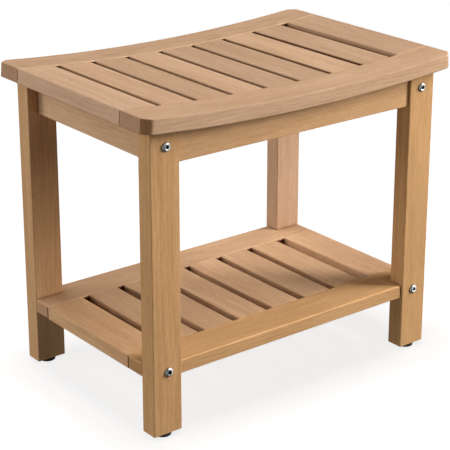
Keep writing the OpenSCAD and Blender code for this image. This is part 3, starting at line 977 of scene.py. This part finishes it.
METALS = {"zinc_steel": metal("zinc_steel", (0.60, 0.62, 0.61), 0.30),
          "stem_steel": metal("stem_steel", (0.70, 0.71, 0.72), 0.24),
          "insert_brass": metal("insert_brass", (0.78, 0.60, 0.30), 0.28)}
RUBBER = rubber()
DOWEL_SEED = 77

for node in NODES:
    if node in boards:
        continue
    if node.endswith("leg_bolts"):
        leg_bolts(node, METALS["zinc_steel"])
    elif node.startswith("foot_stem"):
        foot_stem(node, METALS["stem_steel"])
    elif node.startswith("foot_pad"):
        foot_pad(node, RUBBER)
    else:
        material = METALS.get(SLOT_OF[node]) or timber(node, PALE_LIGHT, PALE_DARK, DOWEL_SEED)
        for place in NODES[node].material_slots:
            place.material = material


# ---- studio ----

STAGE_R = 14.0
STAGE_SEGMENTS = 96
FLOOR_GLOW = 0.82
BACKDROP_GLOW = 0.98
FLOOR_ALBEDO = 0.5
FLOOR_BRIGHTENS = (2.0, 8.0)


def glowing(name, glow, albedo):
    """Plain matt white or grey surface that also glows, so that shadows on it stay pale."""
    material, t, shader = new_material(name)
    shader.inputs["Base Color"].default_value = (albedo, albedo, albedo, 1.0)
    shader.inputs["Roughness"].default_value = 0.9
    shader.inputs["Specular IOR Level"].default_value = 0.0
    shader.inputs["Emission Color"].default_value = (1.0, 1.0, 1.0, 1.0)
    shader.inputs["Emission Strength"].default_value = glow
    return material, t, shader


def stage_object(name, bm, material):
    """Floor or backdrop, which neither lights nor shades the stool."""
    piece = new_object(name, bm)
    piece.data.materials.append(material)
    piece.visible_diffuse = False
    piece.visible_glossy = False
    piece.visible_shadow = False
    return piece


# Far from the lamps the floor glows more, so that it meets the backdrop without a line.
floor_matt, floor_tree, floor_shader = glowing("floor_matt", FLOOR_GLOW, FLOOR_ALBEDO)
from_stool = floor_tree.vector("LENGTH", floor_tree.add("ShaderNodeTexCoord").outputs["Object"])
floor_tree.wire(floor_tree.remap(from_stool, *FLOOR_BRIGHTENS, FLOOR_GLOW, BACKDROP_GLOW),
                floor_shader.inputs["Emission Strength"])
floor_mesh = bmesh.new()
bmesh.ops.create_circle(floor_mesh, cap_ends=True, radius=STAGE_R, segments=STAGE_SEGMENTS)
floor = stage_object("floor", floor_mesh, floor_matt)

wall_mesh = bmesh.new()
bmesh.ops.create_cone(wall_mesh, cap_ends=False, radius1=STAGE_R, radius2=STAGE_R,
                      depth=STAGE_R, segments=STAGE_SEGMENTS,
                      matrix=Matrix.Translation((0, 0, STAGE_R / 2)))
stage_object("backdrop", wall_mesh, glowing("backdrop_matt", BACKDROP_GLOW, 0.0)[0])

# The stool is lit from low down and its floor from above, so each lamp lights only one of them.
floor_only = bpy.data.collections.new("floor_only")
floor_only.objects.link(floor)
not_floor = bpy.data.collections.new("not_floor")
not_floor.objects.link(floor)
not_floor.collection_objects[0].light_linking.link_state = "EXCLUDE"

LAMP_DISTANCE = 3.2
LAMP_TARGET = Vector((0, 0, 0.25))


def softbox(name, azimuth, elevation, size, power, distance=LAMP_DISTANCE, lit=not_floor):
    """Square area light aimed at the middle of the stool; azimuth 0 is in front, 90 at its right."""
    lamp = bpy.data.lights.new(name, "AREA")
    lamp.shape = "SQUARE"
    lamp.size = size
    lamp.energy = power
    light = bpy.data.objects.new(name, lamp)
    a, e = math.radians(azimuth), math.radians(elevation)
    away = Vector((math.sin(a) * math.cos(e), -math.cos(a) * math.cos(e), math.sin(e)))
    light.location = LAMP_TARGET + distance * away
    light.light_linking.receiver_collection = lit
    light.rotation_euler = away.to_track_quat("Z", "Y").to_euler()
    bpy.context.scene.collection.objects.link(light)


softbox("key_low", azimuth=50, elevation=18, size=1.0, power=74)
softbox("key_high", azimuth=58, elevation=38, size=1.3, power=71)
softbox("front", azimuth=10, elevation=38, size=1.0, power=15)
softbox("back_top", azimuth=-170, elevation=60, size=1.2, power=36)
softbox("back_left", azimuth=-130, elevation=18, size=1.2, power=39)
softbox("bounce", azimuth=50, elevation=-25, size=1.0, power=16)
softbox("over_floor", azimuth=0, elevation=90, size=1.4, power=150, distance=6.0, lit=floor_only)

# The world glows faintly from the left, and nowhere else.
SKY_GLOW = 0.92
SKY_NARROWNESS = 3.0
world = bpy.data.worlds.new("studio")
bpy.context.scene.world = world
world.use_nodes = True
sky = Tree(world.node_tree)
background = world.node_tree.nodes["Background"]
background.inputs["Color"].default_value = (1.0, 1.0, 1.0, 1.0)
direction = sky.add("ShaderNodeSeparateXYZ")
sky.wire(sky.add("ShaderNodeTexCoord").outputs["Generated"], direction.inputs[0])
leftward = sky.maths("MAXIMUM", sky.times(direction.outputs["X"], -1.0), 0.0)
sky.wire(sky.times(sky.maths("POWER", leftward, SKY_NARROWNESS), SKY_GLOW),
         background.inputs["Strength"])


# ---- camera ----

# Where the photograph was taken from: in metres, and turned from +Y, tilted and rolled in radians.
CAMERA_PLACE = (-1.3057, -1.6695, 1.0182)
YAW, PITCH, ROLL = 0.6861, -0.3345, 0.0085

camera_data = bpy.data.cameras.new("camera")
camera_data.sensor_width = 36.0
camera_data.lens = 123.32
camera_data.shift_x = -0.08
camera_data.shift_y = -0.11
camera_data.clip_start = 0.05
camera_data.clip_end = 60.0
camera = bpy.data.objects.new("camera", camera_data)
bpy.context.scene.collection.objects.link(camera)
bpy.context.scene.camera = camera
camera.location = CAMERA_PLACE
facing = Vector((math.sin(YAW) * math.cos(PITCH), math.cos(YAW) * math.cos(PITCH),
                 math.sin(PITCH)))
level_right = Vector((math.cos(YAW), -math.sin(YAW), 0))
level_up = level_right.cross(facing)
right = math.cos(ROLL) * level_right + math.sin(ROLL) * level_up
up = math.cos(ROLL) * level_up - math.sin(ROLL) * level_right
camera.rotation_euler = Matrix((right, up, -facing)).transposed().to_euler()

bpy.context.scene.view_settings.view_transform = "Standard"
bpy.context.scene.view_settings.look = "None"
